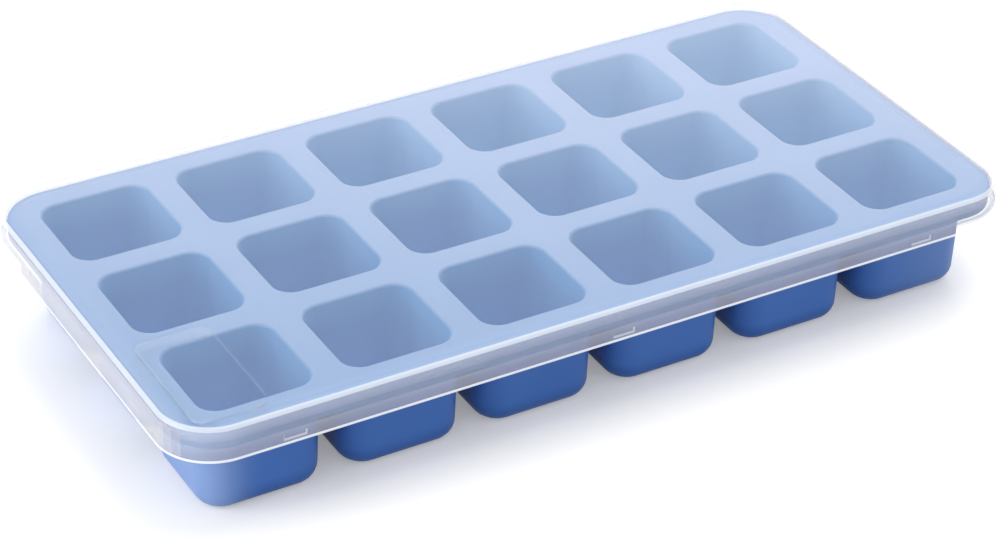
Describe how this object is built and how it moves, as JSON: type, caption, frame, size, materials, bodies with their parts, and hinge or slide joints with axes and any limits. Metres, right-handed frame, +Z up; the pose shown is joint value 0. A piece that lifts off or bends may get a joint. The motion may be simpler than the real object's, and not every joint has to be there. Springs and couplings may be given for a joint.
{
  "type": "ice cube tray",
  "caption": "Flexible silicone ice cube tray with square cups and a clear clip-on lid that has a small filling flap in one corner.",
  "frame": {"origin": "centre of the footprint, on the undersides of the cups", "axes": "+X along the tray's length away from the filling flap, +Y to the rear, +Z up through the cells' mouths"},
  "size_m": [0.2346, 0.1194, 0.0313],
  "materials": {
    "silicone": "satin blue silicone",
    "clear_lid": "milky see-through polypropylene, lightly frosted"
  },
  "bodies": {
    "tray": {"ice_tray": "silicone"},
    "lid": {"lid": "clear_lid"},
    "flap": {"filling_flap": "clear_lid"}
  },
  "joints": [
    {"name": "lid_lift", "type": "slide", "parent": "tray", "child": "lid", "axis": [0, 0, 1], "range_m": [0, 0.06]},
    {"name": "flap_hinge", "type": "hinge", "parent": "lid", "child": "flap", "pos_m": [-0.09265, -0.0375, 0.0313], "axis": [0, 1, 0], "range_deg": [0, 160]}
  ]
}
